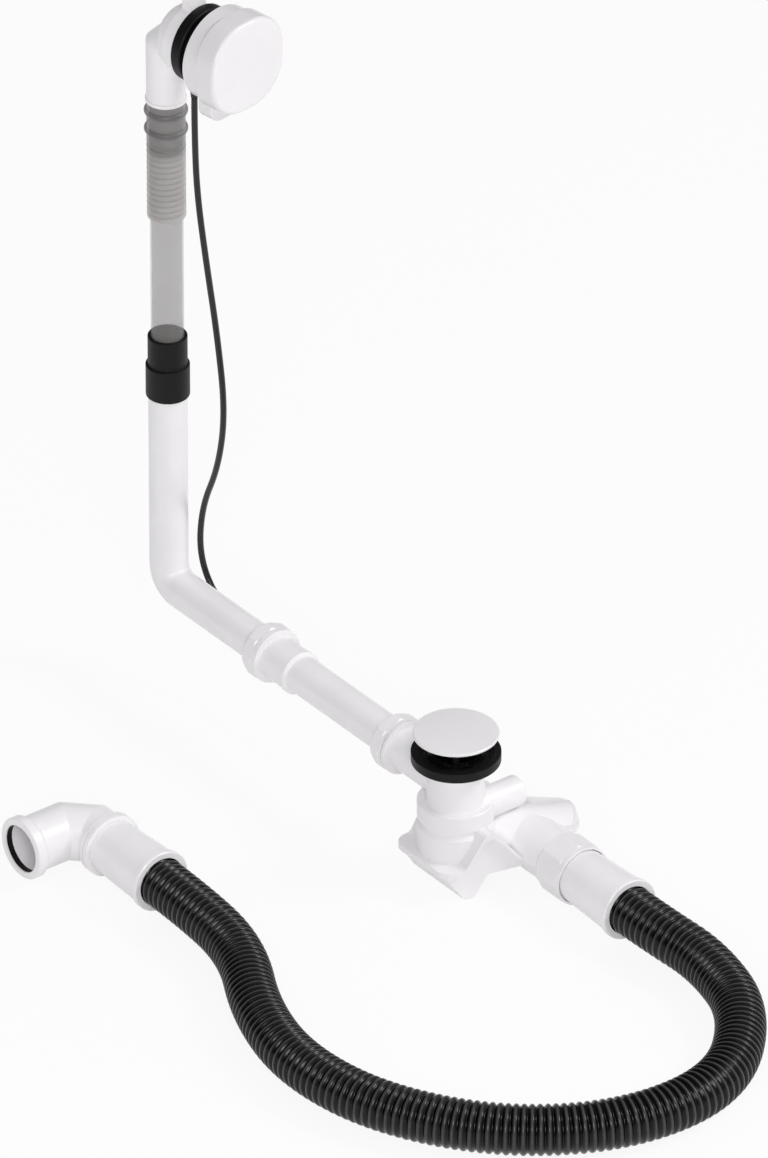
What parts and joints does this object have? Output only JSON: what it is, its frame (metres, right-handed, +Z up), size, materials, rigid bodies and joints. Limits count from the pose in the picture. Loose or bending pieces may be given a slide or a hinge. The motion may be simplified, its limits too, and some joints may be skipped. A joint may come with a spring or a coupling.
{
  "type": "bath waste and overflow",
  "caption": "Bath waste and overflow: pop-up drain with trap, telescopic overflow column with turning rosette, pull cable and corrugated outlet hose with elbow.",
  "frame": {"origin": "On the drain axis, on the top face of the drain gasket that the bath floor lies on.", "axes": "+Z up along the drain axis, +X from the overflow column towards the drain and along the trap outlet, +Y towards the cable mechanism's stub."},
  "size_m": [0.814, 0.3993, 0.6581],
  "materials": {
    "white_plastic": "semi-gloss white polypropylene",
    "trim_white": "bright white satin",
    "clear_grey": "translucent grey polyethylene",
    "black_rubber": "matt black rubber",
    "black_plastic": "glossy black plastic",
    "steel": "plain stainless steel"
  },
  "bodies": {
    "waste": {"column_collar": "black_rubber", "bend_pipe": "white_plastic", "union_nut_bend": "white_plastic", "wedge_seal_bend": "black_rubber", "extension_pipe": "white_plastic", "union_nut_inlet": "white_plastic", "wedge_seal_inlet": "black_rubber", "waste_body": "white_plastic", "trap_lower_shell": "white_plastic", "drain_gasket": "black_rubber", "drain_ring": "black_plastic", "shaft_seal": "black_rubber", "stub_cap": "white_plastic", "cable_end_fitting": "black_plastic", "bowden_cable": "black_plastic", "outlet_nut": "white_plastic", "outlet_seal": "black_rubber", "outlet_cuff": "white_plastic", "drain_hose": "black_plastic", "far_cuff": "white_plastic", "far_elbow": "white_plastic", "socket_lip_seal": "black_rubber"},
    "overflow_head": {"overflow_elbow": "white_plastic", "overflow_gasket": "black_rubber", "rosette_base": "trim_white", "clamp_screws": "steel", "cable_top_fitting": "black_plastic", "corrugated_sleeve": "clear_grey", "telescopic_tube": "clear_grey"},
    "knob": {"rosette_cover": "trim_white", "knob_spindle": "steel", "cable_drum": "white_plastic"},
    "plug": {"plug_cap": "trim_white", "plug_seal": "black_rubber", "plug_stem": "steel", "stem_nut": "steel"},
    "lifter": {"lift_shaft": "white_plastic"},
    "wire": {"cable_core": "steel"}
  },
  "joints": [
    {"name": "overflow_height", "type": "slide", "parent": "waste", "child": "overflow_head", "axis": [0, 0, 1], "range_m": [-0.05, 0.03], "deforming": ["bowden_cable"]},
    {"name": "knob_turn", "type": "hinge", "parent": "overflow_head", "child": "knob", "pos_m": [-0.383, 0, 0.497], "axis": [0.9898, 0.1426, 0], "range_deg": [0, 80]},
    {"name": "plug_lift", "type": "slide", "parent": "waste", "child": "plug", "axis": [0, 0, 1], "range_m": [-0.012, 0]},
    {"name": "lift_shaft_turn", "type": "hinge", "parent": "waste", "child": "lifter", "pos_m": [0.013, 0, -0.0515], "axis": [0, 1, 0], "range_deg": [-55, 0]},
    {"name": "wire_slide", "type": "slide", "parent": "waste", "child": "wire", "axis": [1, 0, 0], "range_m": [0, 0.00625]}
  ],
  "couplings": [
    {"joint": "plug_lift", "follows": "knob_turn", "m_per_rad": -0.00859},
    {"joint": "lift_shaft_turn", "follows": "knob_turn", "ratio": -0.687},
    {"joint": "wire_slide", "follows": "knob_turn", "m_per_rad": 0.00447}
  ]
}
